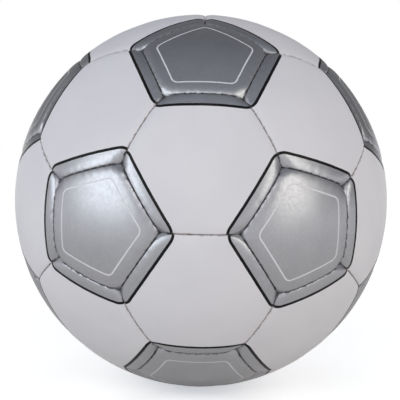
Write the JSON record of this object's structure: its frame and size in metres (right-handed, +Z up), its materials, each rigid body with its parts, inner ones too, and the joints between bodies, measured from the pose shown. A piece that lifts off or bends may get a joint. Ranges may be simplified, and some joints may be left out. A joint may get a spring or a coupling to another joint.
{
  "type": "soccer ball",
  "caption": "Round sports ball: sewn hexagon and pentagon panels with turned-in seams over an air bladder, inflated through a needle valve.",
  "frame": {"origin": "centre of the ball", "axes": "+Z up; the -Y side shows two hexagons, one above the other, with a pentagon left and right; the valve is on the +Y side, 20.9 degrees above the horizontal"},
  "size_m": [0.2192, 0.2192, 0.2192],
  "materials": {
    "white_cover": "white synthetic leather, satin, with a printed silver border and black keyline",
    "silver_cover": "silver metallic print on synthetic leather",
    "seam_thread": "waxed polyester thread",
    "bladder_rubber": "matt butyl rubber",
    "valve_rubber": "moulded rubber, satin",
    "core_rubber": "soft moulded rubber"
  },
  "bodies": {
    "root": {"pentagon_panel_01": "silver_cover", "pentagon_panel_02": "silver_cover", "pentagon_panel_03": "silver_cover", "pentagon_panel_04": "silver_cover", "pentagon_panel_05": "silver_cover", "pentagon_panel_06": "silver_cover", "pentagon_panel_07": "silver_cover", "pentagon_panel_08": "silver_cover", "pentagon_panel_09": "silver_cover", "pentagon_panel_10": "silver_cover", "pentagon_panel_11": "silver_cover", "pentagon_panel_12": "silver_cover", "hexagon_panel_01": "white_cover", "hexagon_panel_02": "white_cover", "hexagon_panel_03": "white_cover", "hexagon_panel_04": "white_cover", "hexagon_panel_05": "white_cover", "hexagon_panel_06": "white_cover", "hexagon_panel_07": "white_cover", "hexagon_panel_08": "white_cover", "hexagon_panel_09": "white_cover", "hexagon_panel_10": "white_cover", "hexagon_panel_11": "white_cover", "hexagon_panel_12": "white_cover", "hexagon_panel_13": "white_cover", "hexagon_panel_14": "white_cover", "hexagon_panel_15": "white_cover", "hexagon_panel_16": "white_cover", "hexagon_panel_17": "white_cover", "hexagon_panel_18": "white_cover", "hexagon_panel_19": "white_cover", "valve_panel": "white_cover", "seam_thread": "seam_thread", "bladder": "bladder_rubber", "valve_patch": "bladder_rubber", "valve_body": "valve_rubber", "valve_core": "core_rubber"}
  },
  "joints": []
}
